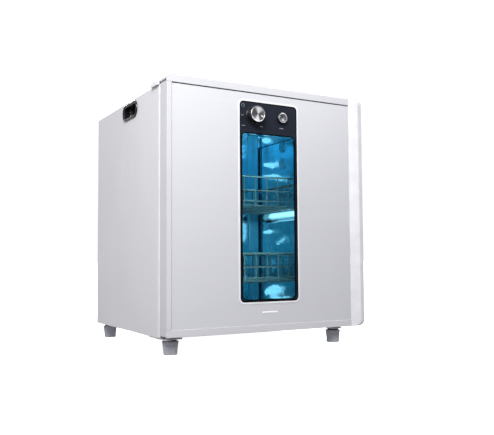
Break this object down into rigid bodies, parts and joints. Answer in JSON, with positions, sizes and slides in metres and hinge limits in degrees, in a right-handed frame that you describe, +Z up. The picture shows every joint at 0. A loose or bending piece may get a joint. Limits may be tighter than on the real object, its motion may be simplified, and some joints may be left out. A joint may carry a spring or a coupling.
{
  "type": "bottle sterilizer",
  "caption": "Tabletop cabinet that disinfects and dries baby bottles: hinged door with a tall window, timer knob, side pull, wire baskets, ultraviolet lamp and warm-air fan.",
  "frame": {"origin": "centre of the footprint box, on the surface the feet stand on", "axes": "+Z up, -Y is the front with the door, +X is the handle side"},
  "size_m": [0.422, 0.41, 0.482],
  "materials": {
    "side_paint": "satin powder coat",
    "white_plastic": "satin white",
    "zinc_steel": "bright zinc",
    "black_plastic": "moulded black",
    "stainless": "polished stainless",
    "lamp_glass": "clear quartz",
    "heater_metal": "fins",
    "ballast_steel": "grey coat",
    "basket_wire": "welded wire",
    "grey_rubber": "matte grey",
    "frame_white": "white coated extrusion",
    "handle_white": "satin white",
    "silver_panel": "fine satin silver",
    "gasket_rubber": "soft dark rubber",
    "fascia_black": "back-printed glass",
    "window_glass": "tempered clear",
    "timer_plastic": "moulded",
    "knob_black": "gloss black",
    "brushed_metal": "turned",
    "button_dark": "dark turned metal"
  },
  "bodies": {
    "root": {"left_side_panel": "side_paint", "right_side_panel": "side_paint", "top_panel": "side_paint", "base_pan": "side_paint", "back_panel": "side_paint", "back_panel_screws": "zinc_steel", "rear_vent_cover": "black_plastic", "cord_gland": "black_plastic", "front_frame": "white_plastic", "door_switch": "black_plastic", "chamber_left_wall": "stainless", "chamber_right_wall": "stainless", "chamber_ceiling": "stainless", "chamber_floor": "stainless", "chamber_back_wall": "stainless", "ceiling_edge_strips": "stainless", "corner_posts": "stainless", "basket_runners": "stainless", "liner_screws": "zinc_steel", "uv_lamp_tube": "lamp_glass", "lamp_end_caps": "zinc_steel", "lamp_holders": "black_plastic", "lamp_reflector": "stainless", "wall_rosettes": "stainless", "fan_grille": "stainless", "fan_housing": "black_plastic", "ptc_heater": "heater_metal", "thermal_cutout": "black_plastic", "lamp_ballast": "ballast_steel", "upper_hinge_bracket": "frame_white", "upper_hinge_cover": "white_plastic", "lower_hinge_bracket": "frame_white", "right_foot_bracket": "frame_white", "feet": "grey_rubber", "foot_collars": "black_plastic", "carry_handles": "black_plastic"},
    "door": {"door_top_rail": "frame_white", "door_bottom_rail": "frame_white", "door_hinge_stile": "frame_white", "door_handle": "handle_white", "handle_end_caps": "handle_white", "door_front_panel": "silver_panel", "door_inner_liner": "stainless", "door_gasket": "gasket_rubber", "fascia_trim": "white_plastic", "control_fascia": "fascia_black", "window_glass": "window_glass", "inner_window_glass": "window_glass", "window_tunnel": "stainless", "timer_body": "timer_plastic", "start_switch": "timer_plastic", "hinge_bushes": "timer_plastic", "button_ring": "brushed_metal"},
    "knob": {"timer_knob": "knob_black", "knob_cap": "brushed_metal", "timer_shaft": "brushed_metal"},
    "button": {"start_button": "button_dark"},
    "impeller": {"fan_impeller": "black_plastic"},
    "upper_basket": {"upper_basket": "basket_wire"},
    "lower_basket": {"lower_basket": "basket_wire"}
  },
  "joints": [
    {"name": "door_hinge", "type": "hinge", "parent": "root", "child": "door", "pos_m": [-0.199, -0.176, 0.257], "axis": [0, 0, -1], "range_deg": [0, 110]},
    {"name": "timer_turn", "type": "hinge", "parent": "door", "child": "knob", "pos_m": [-0.035, -0.195, 0.4265], "axis": [0, 1, 0], "range_deg": [-107, 163]},
    {"name": "start_press", "type": "slide", "parent": "door", "child": "button", "axis": [0, 1, 0], "range_m": [0, 0.003], "stiffness_N_per_m": 1000},
    {"name": "fan_spin", "type": "hinge", "parent": "root", "child": "impeller", "pos_m": [-0.012, 0.133, 0.146], "axis": [0, 1, 0], "continuous": true},
    {"name": "upper_basket_lift", "type": "slide", "parent": "root", "child": "upper_basket", "axis": [0, 0, 1], "range_m": [0, 0.012]},
    {"name": "lower_basket_lift", "type": "slide", "parent": "root", "child": "lower_basket", "axis": [0, 0, 1], "range_m": [0, 0.012]}
  ]
}
